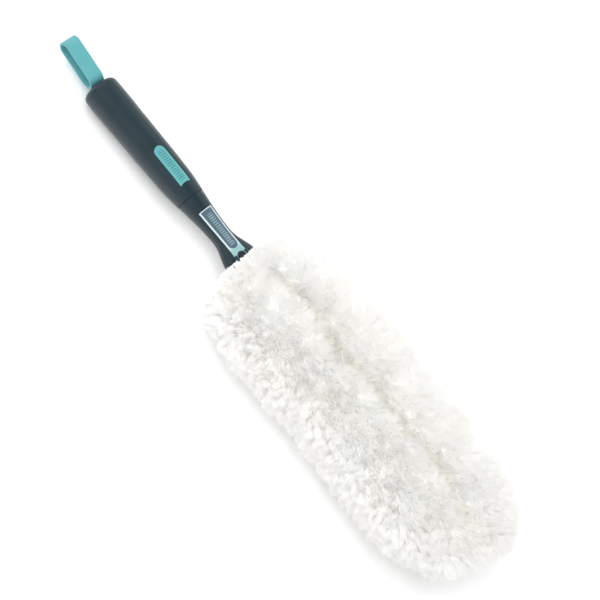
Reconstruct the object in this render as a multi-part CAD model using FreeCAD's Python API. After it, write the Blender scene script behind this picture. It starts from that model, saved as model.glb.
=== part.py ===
import FreeCAD, Part
import math
import os
from FreeCAD import Vector

# Hand duster: a soft-touch grip with a hanging strap, a waisted neck with a flat
# flared mouth, and a fluffy two-lobed sleeve that slides over a flat flexible paddle.
#
# Working frame while modelling (mm): x runs along the handle from the far end of the
# hanging strap (x = 0) to the tip of the head, y is the width, z is the front (badge)
# side. At the end the whole object is laid on the floor: nose up by LAY_DEG, lowest
# point at z = 0, and the middle of its box over the origin.

# ---------------------------------------------------------------- driving dimensions
TOTAL_L = 590.0          # strap end to head tip

GRIP_X0 = 47.0           # rear face of the grip
GRIP_X1 = 174.8          # seam between grip and neck
GRIP_SHOULDER = 5.0      # rounding of the rear end
GRIP_PROFILE = [(52.0, 16.7), (64.0, 16.95), (84.0, 16.7), (110.0, 16.4),
                (140.0, 16.05), (150.0, 15.75), (162.0, 15.1), (170.0, 14.2),
                (174.8, 13.5)]
GRIP_END_FLAT_R = 11.0   # hole in the rear end that the plug closes
CORE_WALL = 2.0          # wall of the core tube
CORE_X0, CORE_X1 = 55.0, 172.0

BADGE_X0, BADGE_X1 = 122.5, 163.0
BADGE_HALF_W = 5.4
BADGE_DEPTH = 1.3
BADGE_PROUD = 0.15
BADGE_GAP = 0.45         # groove round the badge

PIN_X = 51.2             # strap pivot
PIN_R = 1.5
PIN_HOLE_R = 1.55
BARREL_R = 3.1
STRAP_W = 14.4           # band width
STRAP_T = 2.2            # band thickness
RING_H = 16.6            # outer height of the ring
RING_T0 = 6.2            # from the pin to the ring's root
RING_T1 = 52.6           # from the pin to the ring's far end
RING_CORNER = 7.6        # far end; the root end is a half round
STRAP_TILT = 16.0        # how far the strap stands toward the front at rest

NECK_SECTIONS = [        # x, half width (y), half thickness (z)
    (175.2, 13.25, 13.25), (184.0, 12.35, 12.3), (192.0, 11.4, 11.2),
    (202.5, 10.5, 10.1), (214.0, 9.95, 9.35), (224.0, 10.9, 8.95),
    (232.0, 13.6, 8.7), (240.0, 16.4, 8.6), (247.5, 18.0, 8.6)]
NECK_WALL = 2.3
SHANK_R = 9.2
SHANK_X0 = 148.0
STRIP_EDGE = [(191.0, 7.0), (202.5, 6.45), (214.0, 6.0), (226.0, 5.9),
              (234.0, 6.1), (240.0, 6.5), (245.6, 7.3)]
STRIP_DEPTH = 1.3
PLAQUE_X0, PLAQUE_X1 = 191.8, 229.0   # the round end reaches one radius further
PLAQUE_RIM = 1.25        # pale border left on each side of the plaque

BUTTON_X = 242.4
BUTTON_R = 3.55
BUTTON_HOLE_R = 3.65
BUTTON_TRAVEL = 3.0      # takes the cap below the inside of the wall, which frees the tang
BUTTON_TOP = 9.0
FOOT_T = 0.7

TANG_X0, PADDLE_X0, PADDLE_X1 = 220.5, 250.0, 566.0
TANG_HALF_W, PADDLE_HALF_W = 12.0, 18.0
PADDLE_T = 3.0

LAY_DEG = 4.0            # nose-up tilt that puts grip end and head underside on the floor
FLOOR_X, FLOOR_Z = 52.0, -16.74   # where the grip's rear end touches the floor
FLOOR_SLOPE = math.tan(math.radians(LAY_DEG))

# head: x, half width, top height, bottom depth (None = follows the floor), valley depth,
# and how far the section's middle sits to the left of the handle's axis
HEAD = [
    (241.0, 24.0, 14.0, -14.0, 0.0, 0.0),
    (246.0, 32.0, 19.0, -19.0, 1.0, 0.0),
    (253.0, 46.5, 27.0, -26.0, 4.0, -0.8),
    (262.0, 55.0, 34.0, None, 8.0, -1.5),
    (272.0, 60.0, 38.5, None, 12.0, -1.5),
    (288.0, 64.0, 42.5, None, 15.0, -1.2),
    (305.0, 67.0, 45.0, None, 17.0, -0.3),
    (330.0, 67.2, 46.5, None, 18.0, 0.3),
    (360.0, 67.3, 47.5, None, 18.0, 0.7),
    (392.0, 66.3, 47.5, None, 18.0, 1.4),
    (427.0, 66.0, 47.0, None, 18.0, 0.5),
    (455.0, 67.3, 46.0, None, 17.0, 0.7),
    (480.0, 66.8, 45.0, -45.4, 16.0, 0.0),
    (505.0, 66.4, 43.0, -43.5, 15.0, -1.6),
    (528.0, 63.5, 39.5, -40.0, 13.0, -0.8),
    (548.0, 57.5, 34.0, -34.0, 10.0, 1.0),
    (564.0, 49.0, 27.0, -26.5, 7.0, 2.5),
    (577.0, 35.0, 18.5, -18.0, 4.0, 8.0),
    (585.5, 20.0, 11.0, -10.0, 1.5, 13.0),
    (590.0, 6.0, 4.0, -3.0, 0.0, 16.0),
]
VALLEY_HALF = 16.0       # half width of the valley between the lobes
VALLEY_Y = 3.0           # the valley sits a little to one side
PILE_SHELL = 4.0         # equivalent thickness of the pile at fabric density

POCKET_X1 = 575.0
CUFF_X0, CUFF_X1 = 245.2, 252.0


# ---------------------------------------------------------------- helpers
def revolve(points):
    """Solid of revolution about the x axis from closed (x, r) points."""
    pts = [Vector(x, 0, r) for x, r in points]
    wire = Part.makePolygon(pts + [pts[0]])
    return Part.Face(wire).revolve(Vector(0, 0, 0), Vector(1, 0, 0), 360)


def revolve_edges(edges):
    wire = Part.Wire(edges)
    return Part.Face(wire).revolve(Vector(0, 0, 0), Vector(1, 0, 0), 360)


def grip_edges(offset, inner):
    """Closed profile of the grip: rounded rear end, smooth side, inner line given."""
    x0 = GRIP_X0 - offset
    side = [Vector(x, 0, r + offset) for x, r in GRIP_PROFILE]
    curve = Part.BSplineCurve()
    curve.interpolate(Points=side, InitialTangent=Vector(1, 0, 0.05),
                      FinalTangent=Vector(1, 0, -0.30))
    r0 = side[0].z
    s = GRIP_SHOULDER + offset
    a = Vector(x0, 0, r0 - s)
    mid = Vector(side[0].x - s * math.sin(math.radians(45)), 0,
                 r0 - s + s * math.cos(math.radians(45)))
    arc = Part.Arc(a, mid, side[0]).toShape()
    # inner is listed from the rear to the front
    edges = [arc, curve.toShape()]
    pts = [side[-1]] + [Vector(x, 0, r) for x, r in reversed(inner)] + [a]
    for p, q in zip(pts, pts[1:]):
        if (p - q).Length > 1e-6:
            edges.append(Part.makeLine(p, q))
    return edges


def closed_spline(points):
    curve = Part.BSplineCurve()
    curve.interpolate(Points=points, PeriodicFlag=True)
    return Part.Wire([curve.toShape()])


def loft(wires, ruled=False):
    return Part.makeLoft(wires, True, ruled)


def oval_wire(x, a, b, n=24):
    return closed_spline([Vector(x, a * math.cos(2 * math.pi * i / n),
                                 b * math.sin(2 * math.pi * i / n)) for i in range(n)])


def neck_loft(offset):
    return loft([oval_wire(x, a + offset, b + offset) for x, a, b in NECK_SECTIONS])


def prism(points, z0, z1):
    pts = [Vector(x, y, z0) for x, y in points]
    face = Part.Face(Part.makePolygon(pts + [pts[0]]))
    return face.extrude(Vector(0, 0, z1 - z0))


def capsule(x0, x1, hw, z0, z1, rear_round, front_round):
    """Outline along x with round or square ends, raised from z0 to z1."""
    pts = []
    n = 12
    if rear_round:
        for i in range(n + 1):
            t = math.pi / 2 + math.pi * i / n
            pts.append((x0 + hw + hw * math.cos(t), hw * math.sin(t)))
    else:
        pts += [(x0, hw), (x0, -hw)]
    if front_round:
        for i in range(n + 1):
            t = -math.pi / 2 + math.pi * i / n
            pts.append((x1 - hw + hw * math.cos(t), hw * math.sin(t)))
    else:
        pts += [(x1, -hw), (x1, hw)]
    return prism(pts, z0, z1)


def cyl(r, length, base, axis):
    return Part.makeCylinder(r, length, base, axis)


def box(x0, x1, y0, y1, z0, z1):
    return Part.makeBox(x1 - x0, y1 - y0, z1 - z0, Vector(x0, y0, z0))


def single(shape):
    """The shape as one solid where it holds only one."""
    solids = shape.Solids
    return solids[0] if len(solids) == 1 else Part.makeCompound(solids)


parts = {}

# ---------------------------------------------------------------- grip and core
core_out = [(CORE_X0, 13.9), (100.0, 13.6), (140.0, 13.1), (160.0, 12.2), (CORE_X1, 11.3)]
core_in = [(CORE_X0, 11.9), (100.0, 11.6), (138.0, 11.1), (SHANK_X0 - 1.0, SHANK_R),
           (CORE_X1, SHANK_R)]
parts["inner_tube"] = single(revolve(core_out + list(reversed(core_in))))

grip_inner = [(GRIP_X0, GRIP_END_FLAT_R), (CORE_X0, GRIP_END_FLAT_R)] + core_out + \
    [(CORE_X1, 9.3), (GRIP_X1, 9.3)]
grip = single(revolve_edges(grip_edges(0.0, grip_inner)))

badge_prism = capsule(BADGE_X0, BADGE_X1, BADGE_HALF_W, 0.0, 25.0, True, False)
badge_notch = cyl(14.0, 25.0, Vector(BADGE_X1 + 13.1, 0, 0), Vector(0, 0, 1))
badge_prism = badge_prism.cut(badge_notch)
recess = capsule(BADGE_X0 - BADGE_GAP, BADGE_X1 + BADGE_GAP, BADGE_HALF_W + BADGE_GAP,
                 0.0, 25.0, True, False)
recess = recess.cut(cyl(14.0 - BADGE_GAP, 25.0, Vector(BADGE_X1 + 13.1, 0, 0), Vector(0, 0, 1)))


def grip_bar(offset):
    """Full bar bounded by the grip's outer surface moved out by offset."""
    pts = [(x, r + offset) for x, r in GRIP_PROFILE]
    side = [Vector(x, 0, r) for x, r in pts]
    curve = Part.BSplineCurve()
    curve.interpolate(Points=side, InitialTangent=Vector(1, 0, 0.05),
                      FinalTangent=Vector(1, 0, -0.30))
    p0, p1 = side[0], side[-1]
    edges = [curve.toShape(), Part.makeLine(p1, Vector(p1.x, 0, 0)),
             Part.makeLine(Vector(p1.x, 0, 0), Vector(p0.x, 0, 0)),
             Part.makeLine(Vector(p0.x, 0, 0), p0)]
    return revolve_edges(edges)


badge_floor = grip_bar(-BADGE_DEPTH)
parts["grip_inlay"] = single(grip_bar(BADGE_PROUD).common(badge_prism).cut(badge_floor))
parts["soft_grip"] = single(grip.cut(recess.cut(badge_floor)))

# ---------------------------------------------------------------- end plug, pin, strap
PLUG_X0, PLUG_X1 = GRIP_X0 + 0.3, 64.0
plug = revolve([(PLUG_X0, 0.0), (PLUG_X0, GRIP_END_FLAT_R), (CORE_X0, GRIP_END_FLAT_R),
                (CORE_X0, 11.88), (PLUG_X1, 11.83), (PLUG_X1, 0.0)])
# slot that the strap's root swings in
slot = box(PLUG_X0 - 1, PIN_X + BARREL_R + 0.5, -STRAP_W / 2 - 0.25, STRAP_W / 2 + 0.25,
           -BARREL_R - 3.0, BARREL_R + 3.0)
pin_hole = cyl(PIN_R, 24.0, Vector(PIN_X, -12.0, 0), Vector(0, 1, 0))
plug = plug.cut(slot).cut(pin_hole)
parts["end_plug"] = single(plug)
parts["loop_pin"] = cyl(PIN_R, 20.0, Vector(PIN_X, -10.0, 0), Vector(0, 1, 0))


def ring_outline(t0, t1, h, r, y):
    """Rounded rectangle from t0 to t1 beyond the pin, as a wire at width y.
    r is the corner radius at the far end; the root end is a half round."""
    z = h / 2
    k = r * (1 - math.sqrt(0.5))
    g = z * (1 - math.sqrt(0.5))

    def p(t, zz):
        return Vector(-t, y, zz)
    e = [
        Part.makeLine(p(t0 + z, z), p(t1 - r, z)),
        Part.Arc(p(t1 - r, z), p(t1 - k, z - k), p(t1, z - r)).toShape(),
        Part.makeLine(p(t1, z - r), p(t1, -z + r)),
        Part.Arc(p(t1, -z + r), p(t1 - k, -z + k), p(t1 - r, -z)).toShape(),
        Part.makeLine(p(t1 - r, -z), p(t0 + z, -z)),
        Part.Arc(p(t0 + z, -z), p(t0 + g, -z + g), p(t0, 0)).toShape(),
        Part.Arc(p(t0, 0), p(t0 + g, z - g), p(t0 + z, z)).toShape(),
    ]
    return Part.Wire(e)


yw = STRAP_W / 2
outer = Part.Face(ring_outline(RING_T0, RING_T1, RING_H, RING_CORNER, -yw)).extrude(
    Vector(0, STRAP_W, 0))
hole = Part.Face(ring_outline(RING_T0 + STRAP_T + 0.4, RING_T1 - STRAP_T, RING_H - 2 * STRAP_T,
                              RING_CORNER - STRAP_T, -yw - 1)).extrude(Vector(0, STRAP_W + 2, 0))
root = Part.makeBox(RING_T0 + 1.0, STRAP_W, 4.4, Vector(-RING_T0 - 1.0, -yw, -2.2))
barrel = cyl(BARREL_R, STRAP_W, Vector(0, -yw, 0), Vector(0, 1, 0))
strap = outer.cut(hole).fuse(root).fuse(barrel).removeSplitter()
strap = strap.cut(cyl(PIN_HOLE_R, STRAP_W + 4, Vector(0, -yw - 2, 0), Vector(0, 1, 0)))
# soften the band's long edges
try:
    rim = [e for e in strap.Edges
           if abs(abs(e.CenterOfMass.y) - yw) < 1e-4 and e.CenterOfMass.x < -(RING_T0 + 1.5)]
    strap = strap.makeFillet(0.6, rim)
except Exception as err:
    print("strap edges left sharp:", err)
strap = single(strap)
strap.rotate(Vector(0, 0, 0), Vector(0, 1, 0), STRAP_TILT)
strap.translate(Vector(PIN_X, 0, 0))
parts["hang_loop"] = strap

# ---------------------------------------------------------------- neck
neck = neck_loft(0.0)
shank = cyl(SHANK_R, NECK_SECTIONS[0][0] - SHANK_X0 + 2.0, Vector(SHANK_X0, 0, 0),
            Vector(1, 0, 0))
neck = neck.fuse(shank)
bore = cyl(6.6, 206.0 - SHANK_X0 + 1.0, Vector(SHANK_X0 - 1.0, 0, 0), Vector(1, 0, 0))
mouth = loft([oval_wire(219.0, 8.2, 6.6), oval_wire(224.0, 8.8, 6.5),
              oval_wire(232.0, 11.4, 6.35), oval_wire(240.0, 14.1, 6.3),
              oval_wire(249.0, 15.9, 6.3)])
neck = neck.cut(bore).cut(mouth)
strip_pts = [(x, y) for x, y in STRIP_EDGE] + [(x, -y) for x, y in reversed(STRIP_EDGE)]
strip_prism = prism(strip_pts, 0.0, 20.0).cut(
    cyl(BUTTON_HOLE_R + 0.55, 25.0, Vector(BUTTON_X, 0, 0), Vector(0, 0, 1)))
strip_floor = neck_loft(-STRIP_DEPTH)
strip_body = neck_loft(0.22).common(strip_prism).cut(strip_floor)


def strip_half(x):
    for (x0, h0), (x1, h1) in zip(STRIP_EDGE, STRIP_EDGE[1:]):
        if x0 <= x <= x1:
            return h0 + (h1 - h0) * (x - x0) / (x1 - x0)
    return STRIP_EDGE[-1][1]


plaque_x = [PLAQUE_X0, 202.5, 214.0, 226.0, PLAQUE_X1]
plaque_edge = [(x, strip_half(x) - PLAQUE_RIM) for x in plaque_x]
plaque_prism = prism(plaque_edge + [(x, -y) for x, y in reversed(plaque_edge)], 0.0, 20.0).fuse(
    cyl(plaque_edge[-1][1], 20.0, Vector(PLAQUE_X1, 0, 0), Vector(0, 0, 1))).removeSplitter()
plaque = neck_loft(0.34).common(plaque_prism).cut(neck_loft(-0.5))
strip_body = strip_body.cut(plaque_prism.cut(neck_loft(-0.5)))
parts["neck_inlay"] = single(strip_body)
parts["neck_plaque"] = single(plaque)
neck = neck.cut(strip_prism.cut(strip_floor))
neck = neck.cut(cyl(BUTTON_HOLE_R, 12.0, Vector(BUTTON_X, 0, 3.0), Vector(0, 0, 1)))
parts["neck_socket"] = single(neck)

# ---------------------------------------------------------------- release button
# snap button: the cap stands through the neck's wall and locks the tang that it sits on;
# a wider foot under it stops against the wall's inside, and a coil spring lifts it
foot_top = 5.3
button = cyl(BUTTON_R, BUTTON_TOP - foot_top, Vector(BUTTON_X, 0, foot_top), Vector(0, 0, 1))
try:
    top_edge = [e for e in button.Edges if abs(e.CenterOfMass.z - BUTTON_TOP) < 1e-6]
    button = button.makeFillet(0.6, top_edge)
except Exception as err:
    print("button edge left sharp:", err)
button = button.fuse(cyl(4.7, FOOT_T, Vector(BUTTON_X, 0, foot_top - FOOT_T), Vector(0, 0, 1)))
parts["release_button"] = single(button.removeSplitter())
helix = Part.makeHelix(0.85, 2.55, 1.65)
wire_r = 0.22
start = Vector(1.65, 0, 0)
prof = Part.Wire([Part.Circle(start, Vector(0, 1, 0.08), wire_r).toShape()])
spring = Part.Wire(helix).makePipeShell([prof], True, True)
spring.translate(Vector(BUTTON_X, 0, PADDLE_T / 2 + wire_r + 0.02))
parts["button_spring"] = single(spring)

# ---------------------------------------------------------------- paddle
tang = prism([(TANG_X0, -7.0), (TANG_X0 + 4, -7.6), (232.0, -10.4), (242.0, -TANG_HALF_W),
              (256.0, -TANG_HALF_W), (256.0, TANG_HALF_W), (242.0, TANG_HALF_W),
              (232.0, 10.4), (TANG_X0 + 4, 7.6), (TANG_X0, 7.0)],
             -PADDLE_T / 2, PADDLE_T / 2)
blade = box(PADDLE_X0, PADDLE_X1, -PADDLE_HALF_W, PADDLE_HALF_W, -PADDLE_T / 2, PADDLE_T / 2)
ends = [e for e in blade.Edges if abs(e.CenterOfMass.z) < 1e-6 and
        (abs(e.CenterOfMass.x - PADDLE_X0) < 1e-6 or abs(e.CenterOfMass.x - PADDLE_X1) < 1e-6)]
blade = blade.makeFillet(10.0, ends)
n_win = 7
win_pitch = (PADDLE_X1 - PADDLE_X0 - 20.0) / n_win
for i in range(n_win):
    wx0 = PADDLE_X0 + 13.0 + i * win_pitch
    win = box(wx0, wx0 + win_pitch - 6.0, -PADDLE_HALF_W + 5.0, PADDLE_HALF_W - 5.0, -5, 5)
    win = win.makeFillet(5.0, [e for e in win.Edges if abs(e.CenterOfMass.z) < 1e-6])
    blade = blade.cut(win)
paddle = tang.fuse(blade).removeSplitter()
# two rails stand up along the blade and make it springy
for s in (-1, 1):
    paddle = paddle.fuse(box(251.0, 552.0, s * 15.5 - 1.0, s * 15.5 + 1.0, -2.3, 2.3))
parts["head_frame"] = single(paddle.removeSplitter())

# ---------------------------------------------------------------- sleeve backing and cuff
pocket_out = loft([oval_wire(252.0, 21.0, 11.8), oval_wire(262.0, 23.0, 8.0),
                   oval_wire(276.0, 24.5, 6.4), oval_wire(400.0, 24.5, 6.2),
                   oval_wire(550.0, 24.5, 6.2), oval_wire(566.0, 24.0, 6.0),
                   oval_wire(POCKET_X1, 16.0, 4.0)], True)
pocket_in = loft([oval_wire(252.0, 19.4, 10.2), oval_wire(262.0, 21.4, 6.4),
                  oval_wire(276.0, 22.8, 4.7), oval_wire(400.0, 22.8, 4.5),
                  oval_wire(550.0, 22.8, 4.5), oval_wire(566.0, 22.4, 4.4),
                  oval_wire(571.0, 17.0, 2.6)], True)
parts["sleeve_backing"] = single(pocket_out.cut(pocket_in))
cuff = loft([oval_wire(CUFF_X0, 20.4, 11.2), oval_wire(CUFF_X1, 21.0, 11.8)]).cut(
    loft([oval_wire(CUFF_X0 - 0.5, 18.6, 9.4), oval_wire(CUFF_X1 + 0.5, 19.4, 10.2)]))
parts["elastic_cuff"] = single(cuff)
for name, s in (("seam_left", 1), ("seam_right", -1)):
    seam = box(280.0, 548.0, min(s * 23.8, s * 27.5), max(s * 23.8, s * 27.5), -0.8, 0.8)
    parts[name] = single(seam.cut(pocket_out))


# ---------------------------------------------------------------- pile
def floor_z(x):
    return FLOOR_Z - FLOOR_SLOPE * (x - FLOOR_X)


def head_section(x, a, top, bot, valley, mid, shrink, n=40):
    """Closed outline of the pile at x: wide flattish underside, two lobes on top."""
    a, top, bot = a - shrink, top - shrink, bot + shrink
    zc = (top * 0.45 + bot * 0.55)
    pts = []
    for i in range(n):
        t = 2 * math.pi * i / n
        c, s = math.cos(t), math.sin(t)
        if s >= 0:
            e = 2.0 / 2.25
            y = mid + a * math.copysign(abs(c) ** e, c)
            z = zc + (top - zc) * abs(s) ** e
            z -= valley * math.exp(-((y - VALLEY_Y) / VALLEY_HALF) ** 2)
        else:
            e = 2.0 / 2.5
            y = mid + a * math.copysign(abs(c) ** e, c)
            z = zc - (zc - bot) * abs(s) ** e
        pts.append(Vector(x, y, z))
    return closed_spline(pts)


def head_loft(shrink, x_from, x_to, extra_depth):
    wires = []
    for x, a, top, bot, valley, mid in HEAD:
        if x < x_from or x > x_to:
            continue
        if bot is None:
            bot = floor_z(x) - extra_depth
        wires.append(head_section(x, a, top, bot, valley, mid, shrink))
    return loft(wires)


pile = head_loft(0.0, 0.0, 999.0, 0.8)
hollow = head_loft(PILE_SHELL, 250.0, 580.0, 0.8)
pile = pile.cut(hollow)
# flat where it rests on the floor
below = box(200.0, 600.0, -90.0, 90.0, -60.0, 0.0)
below.rotate(Vector(0, 0, 0), Vector(0, 1, 0), LAY_DEG)
below.translate(Vector(FLOOR_X, 0, FLOOR_Z))
pile = pile.cut(below)
# room for the neck, the cuff and the pocket
pile = pile.cut(loft([oval_wire(230.0, 19.2, 10.0), oval_wire(244.0, 20.8, 11.6),
                      oval_wire(253.0, 21.5, 12.3)]))
pile = pile.cut(pocket_out)
# the front is two lobes that meet in the valley, the back is one panel
parts["pile_front_left"] = single(pile.common(box(230.0, 600.0, VALLEY_Y, 90.0, 0.0, 70.0)))
parts["pile_front_right"] = single(pile.common(box(230.0, 600.0, -90.0, VALLEY_Y, 0.0, 70.0)))
parts["pile_back"] = single(pile.common(box(230.0, 600.0, -90.0, 90.0, -70.0, 0.0)))

# ---------------------------------------------------------------- lay on the floor
whole = Part.makeCompound(list(parts.values()))
whole.rotate(Vector(0, 0, 0), Vector(0, 1, 0), -LAY_DEG)
bb = whole.optimalBoundingBox(False)
shift = Vector(-(bb.XMin + bb.XMax) / 2, 0, -bb.ZMin)


def laid(point):
    """A point of the working frame in the finished frame."""
    rot = FreeCAD.Rotation(Vector(0, 1, 0), -LAY_DEG)
    return rot.multVec(point) + shift


os.makedirs("parts", exist_ok=True)
for name, shape in parts.items():
    shape.rotate(Vector(0, 0, 0), Vector(0, 1, 0), -LAY_DEG)
    shape.translate(shift)
    shape.exportStep("parts/%s.step" % name)
    b = shape.BoundBox
    print("%-16s solids %d valid %s vol %.0f  x %.1f..%.1f y %.1f..%.1f z %.1f..%.1f" % (
        name, len(shape.Solids), shape.isValid(), shape.Volume,
        b.XMin, b.XMax, b.YMin, b.YMax, b.ZMin, b.ZMax))

rot = FreeCAD.Rotation(Vector(0, 1, 0), -LAY_DEG)
print("shift", shift)
print("along", rot.multVec(Vector(1, 0, 0)), "front", rot.multVec(Vector(0, 0, 1)))
print("loop pin", laid(Vector(PIN_X, 0, 0)))
print("button", laid(Vector(BUTTON_X, 0, BUTTON_TOP)))
print("box", bb.XLength, bb.YLength, bb.ZLength)
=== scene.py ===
import math

import bpy
import numpy as np
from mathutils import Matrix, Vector


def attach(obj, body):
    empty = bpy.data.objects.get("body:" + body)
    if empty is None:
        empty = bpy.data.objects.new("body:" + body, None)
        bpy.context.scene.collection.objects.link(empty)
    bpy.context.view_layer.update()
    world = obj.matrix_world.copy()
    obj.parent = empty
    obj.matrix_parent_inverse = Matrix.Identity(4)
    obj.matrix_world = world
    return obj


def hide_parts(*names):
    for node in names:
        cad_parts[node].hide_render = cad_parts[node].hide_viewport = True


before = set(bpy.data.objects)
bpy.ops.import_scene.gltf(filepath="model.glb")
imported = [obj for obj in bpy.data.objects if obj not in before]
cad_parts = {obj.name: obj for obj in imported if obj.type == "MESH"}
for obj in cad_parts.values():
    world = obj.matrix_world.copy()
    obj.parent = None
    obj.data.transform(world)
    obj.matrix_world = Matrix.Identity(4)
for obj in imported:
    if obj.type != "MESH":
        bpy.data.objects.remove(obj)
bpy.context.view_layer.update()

MM = 0.001

# ------------------------------------------------------------------ the handle's own axes
# The object lies nose up by 4 degrees. u runs along the handle from the far end of the
# hanging strap to the tip of the head, w across it, n toward the front (badge) side.
LAY = math.radians(4.0)
U = np.array([math.cos(LAY), 0.0, math.sin(LAY)])
W = np.array([0.0, 1.0, 0.0])
N = np.array([-math.sin(LAY), 0.0, math.cos(LAY)])
SHIFT = np.array([-294.0425791656189, 0.0, 13.071885666654952])


def place(p):
    """Row-frame metres from (u, w, n) millimetres."""
    p = np.asarray(p, float)
    return (p[..., :1] * U + p[..., 1:2] * W + p[..., 2:3] * N + SHIFT) * MM


def turn(p):
    p = np.asarray(p, float)
    return p[..., :1] * U + p[..., 1:2] * W + p[..., 2:3] * N


# ------------------------------------------------------------------ camera and light
ROLL = math.radians(24.0)
P = math.sin(ROLL) * N + math.cos(ROLL) * W
BACK = math.cos(ROLL) * N - math.sin(ROLL) * W
CU, CP = 0.6385, 0.7696
RIGHT = CU * U + CP * P
UP = -CP * U + CU * P
target = place([305.0, 0.0, 0.0]) + 17.4 * MM * P
DIST = 1.014
scene = bpy.context.scene
cam_data = bpy.data.cameras.new("camera")
cam_data.sensor_width = 36.0
cam_data.lens = 36.0 * DIST / 0.5293
cam_data.clip_start = 0.01
cam_data.clip_end = 50.0
cam = bpy.data.objects.new("camera", cam_data)
scene.collection.objects.link(cam)
eye = target + DIST * BACK
m = np.eye(4)
m[:3, 0], m[:3, 1], m[:3, 2], m[:3, 3] = RIGHT, UP, BACK, eye
from mathutils import Matrix
cam.matrix_world = Matrix(m.tolist())
scene.camera = cam

scene.view_settings.view_transform = "Standard"
scene.view_settings.look = "None"
scene.view_settings.exposure = 0.0
scene.view_settings.gamma = 1.0
scene.cycles.max_bounces = 24
scene.cycles.diffuse_bounces = 20

world = bpy.data.worlds.new("studio")
scene.world = world
world.use_nodes = True
bg = world.node_tree.nodes["Background"]
bg.inputs["Color"].default_value = (1.0, 1.0, 1.0, 1.0)
_wn = world.node_tree
_wc = _wn.nodes.new("ShaderNodeTexCoord")
_wd = _wn.nodes.new("ShaderNodeVectorMath")
_wd.operation = "DOT_PRODUCT"
_card = math.cos(math.radians(34.0)) * BACK + math.sin(math.radians(34.0)) * P
_wd.inputs[1].default_value = _card.tolist()
_wn.links.new(_wc.outputs["Generated"], _wd.inputs[0])
_wr = _wn.nodes.new("ShaderNodeMapRange")
_wr.interpolation_type = "SMOOTHSTEP"
_wr.inputs["From Min"].default_value = math.cos(math.radians(40.0))
_wr.inputs["From Max"].default_value = math.cos(math.radians(14.0))
_wr.inputs["To Min"].default_value = 0.62
_wr.inputs["To Max"].default_value = 0.06
_wn.links.new(_wd.outputs["Value"], _wr.inputs["Value"])
# seen directly, the backdrop is plain white
_wl = _wn.nodes.new("ShaderNodeLightPath")
_wm = _wn.nodes.new("ShaderNodeMix")
_wn.links.new(_wl.outputs["Is Camera Ray"], _wm.inputs[0])
_wn.links.new(_wr.outputs["Result"], _wm.inputs[2])
_wm.inputs[3].default_value = 1.0
_wn.links.new(_wm.outputs[0], bg.inputs["Strength"])


def area(name, at, aim, size, power, size_y=None):
    d = bpy.data.lights.new(name, "AREA")
    d.energy = power
    d.size = size
    if size_y:
        d.shape = "RECTANGLE"
        d.size_y = size_y
    o = bpy.data.objects.new(name, d)
    scene.collection.objects.link(o)
    o.location = Vector(at)
    o.rotation_euler = (Vector(aim) - Vector(at)).to_track_quat("-Z", "Y").to_euler()
    return o


mid = place([300.0, 0.0, 20.0])
key_at = mid + 1.1 * UP + 0.9 * BACK - 0.3 * RIGHT
area("key", key_at, mid, 1.5, 3.0, 1.2)
left_at = mid - 1.2 * P + 0.55 * BACK
area("left", left_at, mid, 1.0, 0.5, 0.5)
# a broad frontal fill that lights matt surfaces and leaves no glare on the plastic
fill = area("fill", mid + 1.7 * BACK + 0.45 * P + 0.35 * UP, mid, 1.7, 31.2, 1.7)
fill.visible_glossy = False
right_at = mid + 1.35 * P + 0.25 * BACK
area("right", right_at, mid, 1.2, 1.2, 0.6)


# ------------------------------------------------------------------ material helpers
def new_mat(name, color, rough, **sockets):
    mat = bpy.data.materials.new(name)
    mat.use_nodes = True
    p = mat.node_tree.nodes["Principled BSDF"]
    p.inputs["Base Color"].default_value = (*color, 1.0)
    p.inputs["Roughness"].default_value = rough
    for k, v in sockets.items():
        p.inputs[k.replace("_", " ")].default_value = v
    return mat, mat.node_tree, p


def noise_node(nt, scale, detail=4.0, rough=0.55, coord=None, stretch=None):
    tex = nt.nodes.new("ShaderNodeTexNoise")
    tex.inputs["Scale"].default_value = scale
    tex.inputs["Detail"].default_value = detail
    tex.inputs["Roughness"].default_value = rough
    if coord is None:
        coord = nt.nodes.new("ShaderNodeTexCoord").outputs["Object"]
    if stretch:
        mp = nt.nodes.new("ShaderNodeMapping")
        mp.inputs["Scale"].default_value = stretch
        nt.links.new(coord, mp.inputs["Vector"])
        coord = mp.outputs["Vector"]
    nt.links.new(coord, tex.inputs["Vector"])
    return tex


def ramp(nt, fac, stops):
    r = nt.nodes.new("ShaderNodeValToRGB")
    e = r.color_ramp.elements
    while len(e) > 1:
        e.remove(e[-1])
    e[0].position, e[0].color = stops[0][0], (*stops[0][1], 1.0)
    for pos, col in stops[1:]:
        k = e.new(pos)
        k.color = (*col, 1.0)
    nt.links.new(fac, r.inputs["Fac"])
    return r.outputs["Color"]


def span(nt, fac, lo, hi, a=0.3, b=0.7):
    r = nt.nodes.new("ShaderNodeMapRange")
    r.inputs["From Min"].default_value = a
    r.inputs["From Max"].default_value = b
    r.inputs["To Min"].default_value = lo
    r.inputs["To Max"].default_value = hi
    nt.links.new(fac, r.inputs["Value"])
    return r.outputs["Result"]


def bump(nt, p, height, strength, distance):
    b = nt.nodes.new("ShaderNodeBump")
    b.inputs["Strength"].default_value = strength
    b.inputs["Distance"].default_value = distance
    nt.links.new(height, b.inputs["Height"])
    nt.links.new(b.outputs["Normal"], p.inputs["Normal"])
    return b


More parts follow.
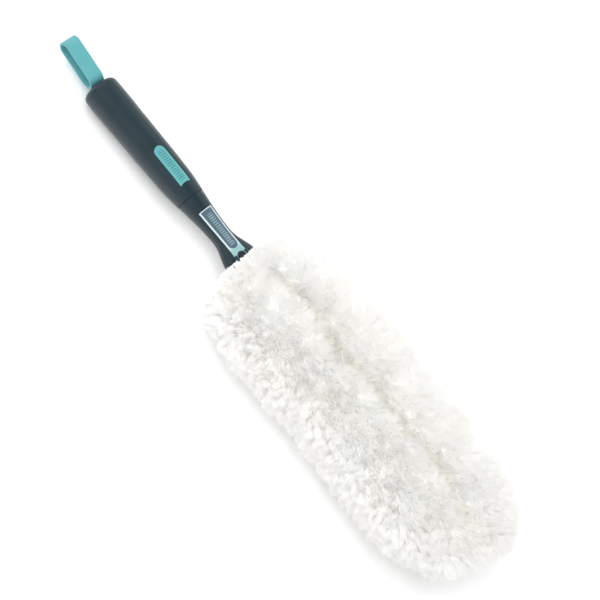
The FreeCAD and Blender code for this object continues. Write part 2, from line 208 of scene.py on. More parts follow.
def moulded(name, dark, light, rough_lo, rough_hi, grain=4200.0, depth=0.00004, sheen=0.0,
            coat=0.0, spec=0.5):
    """Moulded rubber or plastic: cloudy tone, fine grain, a roughness that drifts."""
    mat, nt, p = new_mat(name, dark, rough_lo)
    coord = nt.nodes.new("ShaderNodeTexCoord").outputs["Object"]
    cloud = noise_node(nt, 38.0, 3.0, 0.5, coord)
    nt.links.new(ramp(nt, cloud.outputs["Fac"], [(0.35, dark), (0.65, light)]),
                 p.inputs["Base Color"])
    drift = noise_node(nt, 120.0, 5.0, 0.6, coord)
    nt.links.new(span(nt, drift.outputs["Fac"], rough_lo, rough_hi), p.inputs["Roughness"])
    fine = noise_node(nt, grain, 2.0, 0.5, coord)
    bump(nt, p, fine.outputs["Fac"], 0.35, depth)
    p.inputs["Sheen Weight"].default_value = sheen
    p.inputs["Sheen Roughness"].default_value = 0.4
    p.inputs["Coat Weight"].default_value = coat
    p.inputs["Coat Roughness"].default_value = 0.25
    p.inputs["Specular IOR Level"].default_value = spec
    return mat


grip_mat = moulded("soft_touch_slate", (0.011, 0.027, 0.036), (0.015, 0.033, 0.043),
                   0.33, 0.42, 5200.0, 0.00005, sheen=0.02, spec=0.5)
neck_mat = moulded("neck_slate", (0.012, 0.028, 0.036), (0.016, 0.034, 0.043),
                   0.28, 0.36, 4800.0, 0.00003, spec=0.5)
core_mat = moulded("core_plastic", (0.018, 0.026, 0.031), (0.022, 0.031, 0.037), 0.45, 0.55)
U_ZERO = float(SHIFT @ U)


def math_node(nt, op, a, b=None):
    n = nt.nodes.new("ShaderNodeMath")
    n.operation = op
    for k, v in enumerate((a, b)):
        if v is None:
            continue
        if isinstance(v, (int, float)):
            n.inputs[k].default_value = v
        else:
            nt.links.new(v, n.inputs[k])
    return n.outputs["Value"]


def along(nt, coord, axis, scale=1000.0, zero=0.0):
    d = nt.nodes.new("ShaderNodeVectorMath")
    d.operation = "DOT_PRODUCT"
    d.inputs[1].default_value = [float(v) for v in axis]
    nt.links.new(coord, d.inputs[0])
    return math_node(nt, "SUBTRACT", math_node(nt, "MULTIPLY", d.outputs["Value"], scale), zero)


def ribs(nt, coord, u0, u1, w_half, period):
    """1 on the crests of a row of short cross ribs between u0 and u1, 0 elsewhere."""
    uu = along(nt, coord, U, zero=U_ZERO)
    ww = math_node(nt, "ABSOLUTE", along(nt, coord, W))
    wave = math_node(nt, "SINE", math_node(nt, "MULTIPLY", uu, 2 * math.pi / period))
    crest = span(nt, wave, 0.0, 1.0, -0.25, 0.45)
    side = span(nt, ww, 1.0, 0.0, w_half - 0.35, w_half)
    mid_u = math_node(nt, "ABSOLUTE", math_node(nt, "SUBTRACT", uu, (u0 + u1) / 2))
    ends = span(nt, mid_u, 1.0, 0.0, (u1 - u0) / 2 - 0.3, (u1 - u0) / 2)
    return math_node(nt, "MULTIPLY", math_node(nt, "MULTIPLY", crest, side), ends)


def blend(nt, fac, a, b):
    m_ = nt.nodes.new("ShaderNodeMix")
    m_.data_type = "RGBA"
    nt.links.new(fac, m_.inputs["Factor"])
    socks = [x for x in m_.inputs if x.type == "RGBA"]
    for sock, v in zip(socks, (a, b)):
        if isinstance(v, tuple):
            sock.default_value = (*v, 1.0)
        else:
            nt.links.new(v, sock)
    return [x for x in m_.outputs if x.type == "RGBA"][0]


def marked(name, dark, light, mark, strength, u0, u1, w_half, period, rough, height=0.00018):
    """A moulded plate with a row of plain cross ribs, in a slightly different tone."""
    mat = moulded(name, dark, light, rough, rough + 0.1, 3800.0, 0.00003)
    nt = mat.node_tree
    p = nt.nodes["Principled BSDF"]
    coord = nt.nodes.new("ShaderNodeTexCoord").outputs["Object"]
    r = ribs(nt, coord, u0, u1, w_half, period)
    base = p.inputs["Base Color"].links[0].from_socket
    nt.links.new(blend(nt, math_node(nt, "MULTIPLY", r, strength), base, mark),
                 p.inputs["Base Color"])
    b = nt.nodes.new("ShaderNodeBump")
    b.inputs["Strength"].default_value = 0.6
    b.inputs["Distance"].default_value = height
    nt.links.new(r, b.inputs["Height"])
    nt.links.new(p.inputs["Normal"].links[0].from_socket, b.inputs["Normal"])
    nt.links.new(b.outputs["Normal"], p.inputs["Normal"])
    return mat


teal_mat = moulded("teal_rubber", (0.106, 0.374, 0.406), (0.130, 0.416, 0.443),
                   0.34, 0.44, 3800.0, 0.00003)
badge_mat = marked("teal_badge", (0.099, 0.365, 0.375), (0.120, 0.405, 0.410),
                   (0.040, 0.205, 0.225), 0.85, 127.0, 159.5, 3.3, 2.3, 0.38)
plaque_mat = marked("plaque_slate_blue", (0.070, 0.125, 0.165), (0.085, 0.150, 0.195),
                    (0.300, 0.385, 0.435), 0.80, 196.0, 230.5, 2.5, 2.2, 0.26)
strip_mat = moulded("strip_pale_teal", (0.27, 0.47, 0.49), (0.30, 0.51, 0.53), 0.26, 0.36,
                    3000.0, 0.00002)
_nt = strip_mat.node_tree
_p = _nt.nodes["Principled BSDF"]
_co = _nt.nodes.new("ShaderNodeTexCoord").outputs["Object"]
# painted highlight: the strip is painted near-white up to u 229.5, fading out by 234.5, so the strip showing beside
# the plaque carries painted light on its raised edges
_edge_highlight = span(_nt, along(_nt, _co, U, zero=U_ZERO), 1.0, 0.0, 229.5, 234.5)
_nt.links.new(blend(_nt, _edge_highlight, _p.inputs["Base Color"].links[0].from_socket,
                    (0.66, 0.74, 0.77)), _p.inputs["Base Color"])
frame_mat = moulded("paddle_plastic", (0.020, 0.026, 0.030), (0.026, 0.033, 0.038), 0.40, 0.5)
steel_mat, _nt, _p = new_mat("spring_steel", (0.62, 0.62, 0.64), 0.3, Metallic=1.0)
_c = noise_node(_nt, 900.0, 2.0, 0.5)
_nt.links.new(span(_nt, _c.outputs["Fac"], 0.22, 0.4), _p.inputs["Roughness"])


def knit(name, lo, hi):
    mat, nt, p = new_mat(name, lo, 0.9)
    coord = nt.nodes.new("ShaderNodeTexCoord").outputs["Object"]
    wave = nt.nodes.new("ShaderNodeTexWave")
    wave.inputs["Scale"].default_value = 260.0
    wave.inputs["Distortion"].default_value = 3.0
    wave.inputs["Detail"].default_value = 2.0
    nt.links.new(coord, wave.inputs["Vector"])
    cloud = noise_node(nt, 60.0, 3.0, 0.5, coord)
    nt.links.new(ramp(nt, cloud.outputs["Fac"], [(0.3, lo), (0.7, hi)]), p.inputs["Base Color"])
    bump(nt, p, wave.outputs["Fac"], 0.5, 0.0003)
    p.inputs["Sheen Weight"].default_value = 0.2
    p.inputs["Sheen Roughness"].default_value = 0.5
    return mat


knit_mat = knit("knitted_backing", (0.80, 0.80, 0.78), (0.86, 0.86, 0.84))
ground_mat = knit("pile_ground", (0.965, 0.960, 0.95), (0.98, 0.975, 0.967))

fibre_mats = []
# the first three tones differ at random; the fourth, a shade yellower and slightly darker, is painted shade for the
# valley crease
for i, col in enumerate([(0.983, 0.979, 0.968), (0.983, 0.980, 0.973), (0.980, 0.980, 0.976),
                         (0.981, 0.979, 0.957)]):
    mat, nt, p = new_mat("fibre_%d" % i, col, 0.75)
    p.inputs["Specular IOR Level"].default_value = 0.1
    fibre_mats.append(mat)


def dress(node, mat):
    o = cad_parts[node]
    if not o.material_slots:
        o.data.materials.append(None)
    for s in o.material_slots:
        s.material = mat


for node, mat in [("inner_tube", core_mat), ("soft_grip", grip_mat), ("grip_inlay", badge_mat),
                  ("end_plug", core_mat), ("loop_pin", steel_mat), ("hang_loop", teal_mat),
                  ("neck_socket", neck_mat), ("neck_inlay", strip_mat),
                  ("neck_plaque", plaque_mat), ("release_button", core_mat),
                  ("button_spring", steel_mat), ("head_frame", frame_mat),
                  ("sleeve_backing", knit_mat), ("elastic_cuff", knit_mat),
                  ("seam_left", knit_mat), ("seam_right", knit_mat)]:
    dress(node, mat)

# ------------------------------------------------------------------ the head's surface
FLOOR_U, FLOOR_N = 52.0, -16.74
HEAD = [
    (241.0, 24.0, 14.0, -14.0, 0.0, 0.0),
    (246.0, 32.0, 19.0, -19.0, 1.0, 0.0),
    (253.0, 46.5, 27.0, -26.0, 4.0, -0.8),
    (262.0, 55.0, 34.0, None, 8.0, -1.5),
    (272.0, 60.0, 38.5, None, 12.0, -1.5),
    (288.0, 64.0, 42.5, None, 15.0, -1.2),
    (305.0, 67.0, 45.0, None, 17.0, -0.3),
    (330.0, 67.2, 46.5, None, 18.0, 0.3),
    (360.0, 67.3, 47.5, None, 18.0, 0.7),
    (392.0, 66.3, 47.5, None, 18.0, 1.4),
    (427.0, 66.0, 47.0, None, 18.0, 0.5),
    (455.0, 67.3, 46.0, None, 17.0, 0.7),
    (480.0, 66.8, 45.0, -45.4, 16.0, 0.0),
    (505.0, 66.4, 43.0, -43.5, 15.0, -1.6),
    (528.0, 63.5, 39.5, -40.0, 13.0, -0.8),
    (548.0, 57.5, 34.0, -34.0, 10.0, 1.0),
    (564.0, 49.0, 27.0, -26.5, 7.0, 2.5),
    (577.0, 35.0, 18.5, -18.0, 4.0, 8.0),
    (585.5, 20.0, 11.0, -10.0, 1.5, 13.0),
    (590.0, 6.0, 4.0, -3.0, 0.0, 16.0),
]
VALLEY_HALF = 13.0
VALLEY_PATH = [(241.0, 1.0), (290.0, 2.5), (318.0, 5.0), (358.0, -2.0), (402.0, 2.5),
               (441.0, 1.5), (485.0, 4.5), (538.0, -4.0), (590.0, 4.0)]


def floor_n(u):
    return FLOOR_N - math.tan(LAY) * (u - FLOOR_U)


HU = np.array([h[0] for h in HEAD])
HA = np.array([h[1] for h in HEAD])
HT = np.array([h[2] for h in HEAD])
HB = np.array([h[3] if h[3] is not None else floor_n(h[0]) - 0.8 for h in HEAD])
HV = np.array([h[4] for h in HEAD]) * 0.30
HC = np.array([h[5] for h in HEAD])
VU = np.array([v[0] for v in VALLEY_PATH])
VW = np.array([v[1] for v in VALLEY_PATH])


def pchip(x, xs, ys):
    """Monotone cubic through the table."""
    h = np.diff(xs)
    d = np.diff(ys) / h
    m = np.zeros_like(ys)
    for k in range(1, len(xs) - 1):
        if d[k - 1] * d[k] > 0:
            w1, w2 = 2 * h[k] + h[k - 1], h[k] + 2 * h[k - 1]
            m[k] = (w1 + w2) / (w1 / d[k - 1] + w2 / d[k])
    m[0], m[-1] = d[0], d[-1]
    i = np.clip(np.searchsorted(xs, x) - 1, 0, len(h) - 1)
    t = (x - xs[i]) / h[i]
    a, b = ys[i], ys[i + 1]
    return ((2 * t**3 - 3 * t**2 + 1) * a + (t**3 - 2 * t**2 + t) * h[i] * m[i]
            + (-2 * t**3 + 3 * t**2) * b + (t**3 - t**2) * h[i] * m[i + 1])


def head_point(u, t, shrink=0.0):
    """(u, w, n) on the head's surface moved inward by shrink, at angle t round the section."""
    u = np.asarray(u, float)
    a = np.maximum(pchip(u, HU, HA) - shrink, 0.4)
    top = pchip(u, HU, HT) - shrink
    bot = pchip(u, HU, HB) + shrink
    low = top < bot + 0.8
    mean = (top + bot) / 2
    top = np.where(low, mean + 0.4, top)
    bot = np.where(low, mean - 0.4, bot)
    val = pchip(u, HU, HV) * np.clip(a / 30.0, 0, 1)
    c, s = np.cos(t), np.sin(t)
    nc = top * 0.45 + bot * 0.55
    up = s >= 0
    e = np.where(up, 2.0 / 2.25, 2.0 / 2.5)
    w = pchip(u, HU, HC) + a * np.sign(c) * np.abs(c) ** e
    n_up = (nc + (top - nc) * np.abs(s) ** e
            - val * np.exp(-((w - pchip(u, VU, VW)) / VALLEY_HALF) ** 2))
    n_dn = nc - (nc - bot) * np.abs(s) ** e
    return np.stack([u + 0 * t, w, np.where(up, n_up, n_dn)], -1)


def head_normal(u, t, shrink=0.0):
    du, dt = 0.4, 0.01
    a = head_point(u + du, t, shrink) - head_point(u - du, t, shrink)
    b = head_point(u, t + dt, shrink) - head_point(u, t - dt, shrink)
    n = np.cross(b, a)
    n /= np.linalg.norm(n, axis=-1, keepdims=True) + 1e-12
    mid_p = np.stack([u, pchip(u, HU, HC), (pchip(u, HU, HT) + pchip(u, HU, HB)) / 2], -1)
    out = head_point(u, t, shrink) - mid_p
    flip = np.sign((n * out).sum(-1, keepdims=True))
    return n * np.where(flip == 0, 1, flip)


# gradient noise, seeded
_rng = np.random.default_rng(20417)
_perm = _rng.permutation(256)
_perm = np.concatenate([_perm, _perm, _perm])
_grad = _rng.normal(size=(256, 3))
_grad /= np.linalg.norm(_grad, axis=1, keepdims=True)


def gnoise(p):
    i = np.floor(p).astype(int)
    f = p - i
    i &= 255
    s = f * f * f * (f * (f * 6 - 15) + 10)
    out = 0.0
    for dx in (0, 1):
        for dy in (0, 1):
            for dz in (0, 1):
                h = _perm[_perm[_perm[i[..., 0] + dx] + i[..., 1] + dy] + i[..., 2] + dz]
                g = (_grad[h] * (f - np.array([dx, dy, dz]))).sum(-1)
                wx = s[..., 0] if dx else 1 - s[..., 0]
                wy = s[..., 1] if dy else 1 - s[..., 1]
                wz = s[..., 2] if dz else 1 - s[..., 2]
                out = out + g * wx * wy * wz
    return out


def swell(p):
    """Slow lumps of the pile, in mm, at points (u, w, n)."""
    return (3.6 * gnoise(p / 27.0) + 1.7 * gnoise(p / 13.0 + 7.3) + 0.5 * gnoise(p / 6.5 + 3.1))


# where the outline stands out or falls back: u, side (+1 is +w), height, half length
BUMPS = [(353.0, 1, 5.0, 8.0), (386.0, 1, 4.0, 12.0), (464.0, 1, 5.5, 11.0),
         (480.0, 1, 3.0, 7.0), (496.0, 1, -3.5, 6.0), (312.0, 1, 2.2, 14.0),
         (511.0, 1, 3.5, 8.0), (530.0, 1, 2.0, 9.0), (550.0, 1, 4.0, 9.0),
         (570.0, 1, 3.5, 8.0), (425.0, 1, 1.2, 8.0), (392.0, -1, -2.5, 7.0),
         (312.0, -1, 1.8, 14.0), (520.0, -1, 1.6, 9.0), (562.0, -1, 3.0, 6.0),
         (585.0, -1, -5.0, 8.0), (248.0, 1, -3.0, 4.0), (248.0, -1, -3.0, 4.0)]


def bulge(u, w):
    """The outline's own bumps, in mm, at points near the head's two sides."""
    rel = (w - pchip(u, HU, HC)) / np.maximum(pchip(u, HU, HA), 1.0)
    out = 0.0
    for u0, side, high, half in BUMPS:
        k = np.clip((rel * side - 0.45) / 0.45, 0, 1)
        out = out + high * k * k * (3 - 2 * k) * np.exp(-((u - u0) / half) ** 2)
    return out


def mesh_object(name, verts, faces_flat, sizes, mats, mat_index=None, smooth=True):
    me = bpy.data.meshes.new(name)
    me.vertices.add(len(verts))
    me.vertices.foreach_set("co", np.ascontiguousarray(verts, dtype=np.float32).ravel())
    me.loops.add(len(faces_flat))
    me.loops.foreach_set("vertex_index", np.ascontiguousarray(faces_flat, dtype=np.int32))
    starts = np.concatenate([[0], np.cumsum(sizes)[:-1]]).astype(np.int32)
    me.polygons.add(len(sizes))
    me.polygons.foreach_set("loop_start", starts)
    me.polygons.foreach_set("loop_total", np.asarray(sizes, dtype=np.int32))
    if mat_index is not None:
        me.polygons.foreach_set("material_index", np.asarray(mat_index, dtype=np.int32))
    me.polygons.foreach_set("use_smooth", np.full(len(sizes), smooth))
    for mt in mats:
        me.materials.append(mt)
    me.update(calc_edges=True)
    me.validate()
    ob = bpy.data.objects.new(name, me)
    scene.collection.objects.link(ob)
    return ob


# ------------------------------------------------------------------ ground under the pile
GROUND = 9.5


def ground_mesh():
    us = np.concatenate([np.linspace(246.0, 275.0, 20), np.linspace(277.0, 540.0, 140),
                         np.linspace(541.5, 584.0, 34)])
    nt_ = 190
    ts = np.arange(nt_) / nt_ * 2 * math.pi
    uu, tt = np.meshgrid(us, ts, indexing="ij")
    g = head_point(uu.ravel(), tt.ravel(), GROUND)
    nn = head_normal(uu.ravel(), tt.ravel(), GROUND)
    g = g + nn * (0.8 * swell(g))[:, None] + nn * (0.7 * gnoise(g / 2.2))[:, None]
    # keep clear of the neck and the cuff
    near = g[:, 0] < 256.0
    rad = np.hypot(g[:, 1] / 22.5, g[:, 2] / 13.5)
    fix = near & (rad < 1.0)
    g[fix, 1] /= rad[fix]
    g[fix, 2] /= rad[fix]
    # the first ring turns in to the cuff at the pile's rear end
    g = g.reshape(len(us), nt_, 3)
    g[0] = np.stack([0 * ts + 249.0, 21.6 * np.cos(ts), 12.4 * np.sin(ts)], 1)
    g = g.reshape(-1, 3)
    v = place(g)
    v[:, 2] = np.maximum(v[:, 2], 0.0012)
    faces = []
    k = len(us)
    i, j = np.meshgrid(np.arange(k - 1), np.arange(nt_), indexing="ij")
    i, j = i.ravel(), j.ravel()
    j2 = (j + 1) % nt_
    quads = np.stack([i * nt_ + j, (i + 1) * nt_ + j, (i + 1) * nt_ + j2, i * nt_ + j2], 1)
    # close the tip end with a fan
    tip = len(v)
    v = np.vstack([v, place([[586.0, 13.0, 0.5]]), place([[250.0, 0.0, 0.0]])])
    last = (k - 1) * nt_
    fan1 = [[last + a, tip, last + (a + 1) % nt_] for a in range(nt_)]
    flat = np.concatenate([quads.ravel(), np.array(fan1).ravel()])
    sizes = [4] * len(quads) + [3] * nt_
    v = v[:-1]
    return mesh_object("pile_ground", v, flat, sizes, [ground_mat])


# ------------------------------------------------------------------ the pile itself
def ring_points(spacing, rng, shrink, u0=241.6, u1=589.0):
    """Roughly even points (u, t) over the head's surface."""
    us = np.linspace(u0, u1, 3000)
    a = pchip(us, HU, HA) - shrink * 0.6
    s = np.concatenate([[0], np.cumsum(np.hypot(np.diff(us), np.diff(a)))])
    rows = int(s[-1] / (spacing * 0.87))
    out = []
    for r in range(rows):
        u = np.interp((r + 0.5) / rows * s[-1], s, us)
        tt = np.linspace(0, 2 * math.pi, 361)
        sec = head_point(np.full(361, u), tt, 0.0)
        arc = np.concatenate([[0], np.cumsum(np.linalg.norm(np.diff(sec, axis=0), axis=1))])
        n = max(3, int(arc[-1] / spacing))
        at = (np.arange(n) + 0.5 * (r % 2) + rng.uniform(-0.38, 0.38, n)) / n * arc[-1]
        t = np.interp(at % arc[-1], arc, tt)
        out.append(np.stack([u + rng.uniform(-0.4, 0.4, n) * spacing, t], 1))
    pts = np.vstack(out)
    pts[:, 0] = np.clip(pts[:, 0], u0, u1)
    return pts


def unit(v):
    return v / (np.linalg.norm(v, axis=-1, keepdims=True) + 1e-12)


def strands(root, mid_, tip, r0, r1, r2):
    """Closed three-sided tapering strands: root ring, middle ring and a point."""
    n = len(root)
    d = unit(tip - root)
    ref = np.where(np.abs(d[:, 2:3]) < 0.8, np.array([[0, 0, 1.0]]), np.array([[1.0, 0, 0]]))
    x = unit(np.cross(d, ref))
    y = np.cross(d, x)
    ang = np.arange(3) * 2 * math.pi / 3
    verts = np.empty((n, 7, 3))
    for k in range(3):
        o = math.cos(ang[k]) * x + math.sin(ang[k]) * y
        verts[:, k] = root + o * r0[:, None]
        verts[:, 3 + k] = mid_ + o * r1[:, None]
    verts[:, 6] = tip
    quad = np.array([[0, 1, 4, 3], [1, 2, 5, 4], [2, 0, 3, 5]])
    tri = np.array([[3, 4, 6], [4, 5, 6], [5, 3, 6], [2, 1, 0]])
    return verts, quad, tri


# gaps in the mouth's front edge: place across the mouth and depth, in mm
TEETH = [(6.9, 7.4, 1.35), (-8.4, 4.4, 1.1), (-1.2, 3.4, 1.0)]


def ragged(q):
    """How far the pile's rear edge falls back, in mm, at points (u, w, n)."""
    c = 0.4067 * q[:, 2] + 0.9135 * q[:, 1]
    front = q[:, 2] > 0.0
    flat = np.stack([c / 3.1, 0 * c + 4.7, 9.0 * front], 1)
    out = 3.6 * gnoise(flat) + 1.4 * gnoise(flat * 2.3 + 5.0)
    for at, deep, half in TEETH:
        out = out + np.where(front, deep * np.exp(-((c - at) / half) ** 4), 0.0)
    return np.clip(out, -2.6, 7.6)


def build_pile():
    rng = np.random.default_rng(90210)
    pts = ring_points(4.7, rng, 0.0)
    per = 34
    u, t = pts[:, 0], pts[:, 1]
    base = head_point(u, t, GROUND)
    surf = head_point(u, t, 0.0)
    nor = head_normal(u, t, 0.0)
    m_ = len(u)
    tan1 = unit(np.cross(nor, np.array([0.3, 1.0, 0.2])))
    tan2 = np.cross(nor, tan1)
    # lean: a slow wander shared by neighbours plus each tuft's own
    lean_a = 0.44 * gnoise(surf / 19.0 + 31.0) + 0.15 * rng.normal(size=m_)
    lean_b = 0.44 * gnoise(surf / 19.0 + 57.0) + 0.15 * rng.normal(size=m_)
    # the flanks are shaggier than the front and back
    flank = np.clip((np.abs(nor[:, 1]) - 0.45) / 0.4, 0, 1)
    lean_a = lean_a + 0.22 * flank * rng.normal(size=m_)
    lean_b = lean_b + 0.22 * flank * rng.normal(size=m_)
    comb = np.array([0.10, 0.0, -0.02])
    direc = unit(nor + lean_a[:, None] * tan1 + lean_b[:, None] * tan2 + comb)
    length = (np.linalg.norm(surf - base, axis=1) + 0.85 * swell(surf) + 1.6
              + bulge(surf[:, 0], surf[:, 1]) + rng.normal(size=m_) * (0.4 + 0.55 * flank) + 1.3 * flank)
    # short round the sleeve's mouth
    length = np.clip(length, 5.0, 21.0) * np.clip(0.45 + (u - 243.0) / 26.0, 0.45, 1.0)
    # every tuft's strands
    idx = np.repeat(np.arange(m_), per)
    k = len(idx)
    rr = 3.4 * np.sqrt(rng.uniform(0, 1, k))
    aa = rng.uniform(0, 2 * math.pi, k)
    off = rr[:, None] * (np.cos(aa)[:, None] * tan1[idx] + np.sin(aa)[:, None] * tan2[idx])
    root = base[idx] + off - nor[idx] * 0.8
    tip_len = length[idx] * (1.03 - 0.08 * (rr / 3.4) ** 2) * rng.uniform(0.88, 1.04, k)
    # a few longer ones stand out of the surface
    stray = rng.uniform(0, 1, k) < 0.05
    tip_len = np.where(stray, tip_len + rng.uniform(0.8, 2.6, k), tip_len)
    tip = (base[idx] + direc[idx] * tip_len[:, None] + off * (rng.uniform(0.45, 1.05, k) - 0.12 * flank[idx])[:, None]
           + rng.normal(size=(k, 3)) * 0.6)
    curl = rng.normal(size=(k, 3)) * 0.5
    mid_ = root * 0.45 + tip * 0.55 + curl + nor[idx] * 0.9 + off * 0.15
    width = rng.uniform(0.17, 0.27, k)
    # none reaches far back over the neck, and the edge there is ragged
    for q in (root, mid_, tip):
        far = np.maximum(np.hypot(q[:, 1], 1.5 * q[:, 2]) - 26.0, 0.0)
        edge = 244.2 + 0.30 * far + 1.8 * rng.uniform(0, 1, k) + ragged(q)
        q[:, 0] = np.maximum(q[:, 0], edge)
        rad = np.hypot(q[:, 1] / 20.5, q[:, 2] / 12.3)
        f = np.where(q[:, 0] < 252.6, np.maximum(rad, 1.0) / np.maximum(rad, 1e-6), 1.0)
        q[:, 1] *= f
        q[:, 2] *= f
        # the outermost ones are drawn in a little
        over = np.maximum(np.abs(q[:, 1]) - 78.0, 0.0)
        q[:, 1] -= np.sign(q[:, 1]) * 0.6 * over
    row_root, row_mid, row_tip = place(root), place(mid_), place(tip)
    # the floor presses the underside flat
    for q in (row_root, row_mid, row_tip):
        q[:, 2] = np.maximum(q[:, 2], 0.0006 + 0.0012 * rng.uniform(0, 1, k))
    patch = gnoise(surf / 34.0 + 11.0) + 0.22 * rng.normal(size=m_)
    tone = np.where(patch > 0.12, 0, np.where(patch < -0.16, 2, 1))
    # painted shade: strands along the valley crease get the fourth tone, a shade yellower and slightly darker
    near = np.abs(surf[:, 1] - pchip(u, VU, VW)) + 5.0 * gnoise(surf / 9.0 + 2.0)
    tone = np.where((near < 5.5) & (surf[:, 2] > 0) & (u > 285.0) & (u < 560.0), 3, tone)[idx]
    verts, quad, tri = strands(row_root, row_mid, row_tip, width * MM, width * 0.86 * MM, None)
    verts[..., 2] = np.maximum(verts[..., 2], 0.0003)
    nc = 0.45 * pchip(u, HU, HT) + 0.55 * pchip(u, HU, HB)
    top = (surf[:, 2] > nc)[idx]
    left = (surf[:, 1] > pchip(u, VU, VW))[idx]
    zone = np.digitize(surf[:, 0], [330.0, 398.0, 470.0])[idx]
    total = 0
    for face, node_of in ((True, ("pile_front_right", "pile_front_left")),
                          (False, ("pile_back", "pile_back"))):
        for side in (0, 1):
            for z in range(4):
                mask = (top == face) & (left == bool(side)) & (zone == z)
                v = verts[mask]
                c = len(v)
                o = (np.arange(c) * 7)[:, None, None]
                flat = np.concatenate([(quad[None] + o).reshape(-1), (tri[None] + o).reshape(-1)])
                sizes = np.concatenate([np.full(3 * c, 4), np.full(4 * c, 3)])
                mi = np.concatenate([np.repeat(tone[mask], 3), np.repeat(tone[mask], 4)])
                name = "pile_%s_%s_%d" % ("front" if face else "back",
                                          "left" if side else "right", z + 1)
                ob = mesh_object(name, v.reshape(-1, 3), flat, sizes, fibre_mats, mi,
                                 smooth=False)
                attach(ob, "sleeve")
                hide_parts(node_of[side])
                total += c
                if c * 10 > 195000:
                    print("too many triangles", name, c * 10)
    print("pile", m_, "tufts", total, "strands")


ground = ground_mesh()
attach(ground, "sleeve")
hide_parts("pile_front_left", "pile_front_right", "pile_back")
build_pile()


# tufts round the sleeve's mouth, over the cuff and the neck's edge
def build_mouth():
    rng = np.random.default_rng(515)
    # pointed locks that reach back over the neck's edge, with gaps between them
    locks = 46
    t = (np.arange(locks) + rng.uniform(-0.35, 0.35, locks)) / locks * 2 * math.pi
    long_ = rng.uniform(2.4, 6.0, locks)
    base = np.stack([249.8 + rng.uniform(-0.6, 1.0, locks), 21.6 * np.cos(t), 12.8 * np.sin(t)], 1)
    out = unit(np.stack([0 * t, np.cos(t) / 21.0, np.sin(t) / 12.0], 1))
    side = np.cross(out, np.array([1.0, 0.0, 0.0]))
    direc = unit(out * rng.uniform(0.00, 0.34, locks)[:, None] + np.array([-1.0, 0, 0])
                 + side * (rng.normal(size=locks) * 0.32)[:, None])
    per = 60
    idx = np.repeat(np.arange(locks), per)
    k = len(idx)
    across = rng.normal(size=k) * 0.80
    lift = rng.uniform(0.0, 1.6, k)
    root = base[idx] + side[idx] * across[:, None] + out[idx] * lift[:, None]
    reach = (long_[idx] + 1.6) * rng.uniform(0.72, 1.05, k)
    tip = (base[idx] + direc[idx] * reach[:, None] + side[idx] * (across * 0.30)[:, None]
           + out[idx] * (lift * 0.5)[:, None])

    def clear(p):
        rad = np.hypot(p[:, 1] / 18.7, p[:, 2] / 9.6)
        f = np.maximum(rad, 1.0) / rad
        p[:, 1] *= f
        p[:, 2] *= f
        return p

    root, tip = clear(root), clear(tip)
    mid_ = (root + tip) / 2 + out[idx] * rng.uniform(0.4, 1.2, k)[:, None]
    width = rng.uniform(0.18, 0.28, k)
    verts, quad, tri = strands(place(root), place(mid_), place(tip), width * MM,
                               width * 0.8 * MM, None)
    verts[..., 2] = np.maximum(verts[..., 2], 0.0003)
    # none lies over a tooth of the neck's mouth
    keep = np.ones(k, bool)
    for q in (mid_, tip):
        c = 0.4067 * q[:, 2] + 0.9135 * q[:, 1]
        for at, deep, half in TEETH:
            keep &= ~((q[:, 2] > 0) & (np.abs(c - at) < half) & (q[:, 0] < 244.2 + deep))
    verts = verts[keep]
    k = len(verts)
    o = (np.arange(k) * 7)[:, None, None]
    sizes = np.concatenate([np.full(3 * k, 4), np.full(4 * k, 3)])
    ob = mesh_object("pile_mouth_tufts", verts.reshape(-1, 3),
                     np.concatenate([(quad[None] + o).reshape(-1), (tri[None] + o).reshape(-1)]),
                     sizes, [fibre_mats[1]], smooth=False)
    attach(ob, "sleeve")


# ------------------------------------------------------------------ the mouth's elastic hem
def build_hem():
    """A rolled, gathered hem round the sleeve's mouth: it stands for the elastic cuff."""
    na, nb = 220, 14
    prof = []
    for b in range(nb):
        q = b / nb * 2 * math.pi
        prof.append((2.9 * math.cos(q), 0.95 * math.sin(q)))
    verts = []
    for a in range(na):
        t = a / na * 2 * math.pi
        gather = 0.16 * math.sin(t * 44.0) + 0.07 * math.sin(t * 97.0 + 1.0)
        for du, dr in prof:
            r = dr + gather * (0.6 + 0.4 * abs(dr))
            verts.append((249.2 + du + 0.12 * math.sin(t * 44.0 + 0.8),
                          (19.9 + r) * math.cos(t), (10.75 + r) * math.sin(t)))
    faces = []
    for a in range(na):
        for b in range(nb):
            a2, b2 = (a + 1) % na, (b + 1) % nb
            faces.append((a * nb + b, a * nb + b2, a2 * nb + b2, a2 * nb + b))
    f = np.array(faces)
    ob = mesh_object("mouth_hem", place(np.array(verts)), f.reshape(-1), np.full(len(f), 4),
                     [knit_mat])
    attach(ob, "sleeve")
    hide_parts("elastic_cuff")


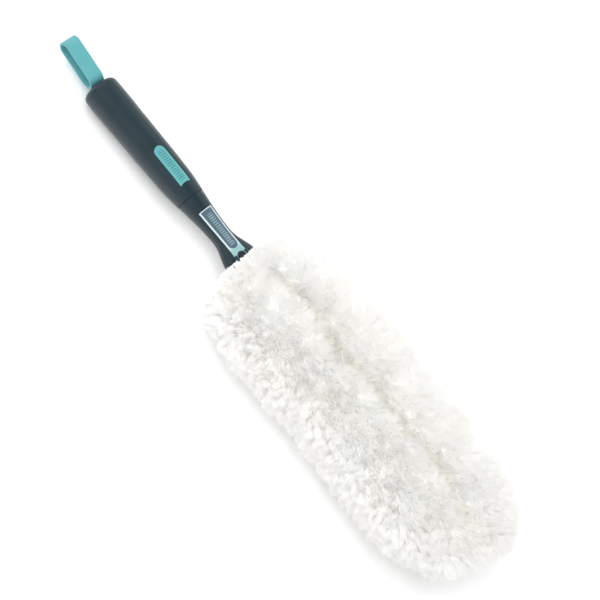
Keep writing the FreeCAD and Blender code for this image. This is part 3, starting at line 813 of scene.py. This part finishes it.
# ------------------------------------------------------------------ teeth of the neck's mouth
def build_teeth():
    """Small tapered teeth of the neck's mouth that hook over the front of the hem."""
    verts, faces = [], []
    line_u = [239.6, 243.0, 244.6, 245.7, 247.0]
    line_b = [8.6, 9.3, 10.4, 11.5, 12.25]
    # the two by the button pass beside it, and the longer one bends in past it
    for turn_, bent, end in ((72.0, 85.0, 251.0), (129.0, 129.0, 247.2), (108.0, 106.0, 246.9)):
        rows = 15
        first = len(verts)
        for i in range(rows):
            f = i / (rows - 1)
            u = 239.6 + (end - 239.6) * f
            b = float(np.interp(u, line_u, line_b))
            t = math.radians(float(np.interp(u, [246.4, 251.0], [turn_, bent])))
            side = unit(np.array([-math.sin(t) * 21.0, math.cos(t) * 12.0]))
            half = 1.25 * (1 - f) ** 0.7 + 0.22
            thick = 1.15 * (1 - f ** 3) + 0.25
            for a in range(10):
                q = a / 10 * 2 * math.pi
                x = half * math.copysign(abs(math.cos(q)) ** 0.7, math.cos(q))
                y = 0.5 * thick * (1 + math.copysign(abs(math.sin(q)) ** 0.7, math.sin(q)))
                r = b + y
                verts.append((u, (r + 9.15) * math.cos(t) + x * side[0],
                              r * math.sin(t) + x * side[1]))
        for i in range(rows - 1):
            for a in range(10):
                a2 = (a + 1) % 10
                faces.append([first + i * 10 + a, first + i * 10 + a2,
                              first + (i + 1) * 10 + a2, first + (i + 1) * 10 + a])
        faces.append([first + a for a in range(9, -1, -1)])
        faces.append([first + (rows - 1) * 10 + a for a in range(10)])
    flat = [x for f in faces for x in f]
    ob = mesh_object("mouth_teeth", place(np.array(verts)), flat, [len(f) for f in faces],
                     [neck_mat])
    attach(ob, "handle")


build_hem()
build_mouth()
build_teeth()

# ------------------------------------------------------------------ floor
floor_me = bpy.data.meshes.new("floor")
s = 6.0
floor_me.from_pydata([(-s, -s, 0), (s, -s, 0), (s, s, 0), (-s, s, 0)], [], [(0, 1, 2, 3)])
floor_mat, fnt, fp = new_mat("floor_white", (0.97, 0.97, 0.97), 0.8)
fc = noise_node(fnt, 3.0, 2.0, 0.5)
fnt.links.new(ramp(fnt, fc.outputs["Fac"], [(0.3, (0.965, 0.965, 0.965)),
                                            (0.7, (0.975, 0.975, 0.975))]), fp.inputs["Base Color"])
fp.inputs["Specular IOR Level"].default_value = 0.1
fp.inputs["Emission Color"].default_value = (1.0, 1.0, 1.0, 1.0)
fp.inputs["Emission Strength"].default_value = 0.10
floor_me.materials.append(floor_mat)
floor = bpy.data.objects.new("floor", floor_me)
floor.location = (0, 0, -0.0004)
scene.collection.objects.link(floor)
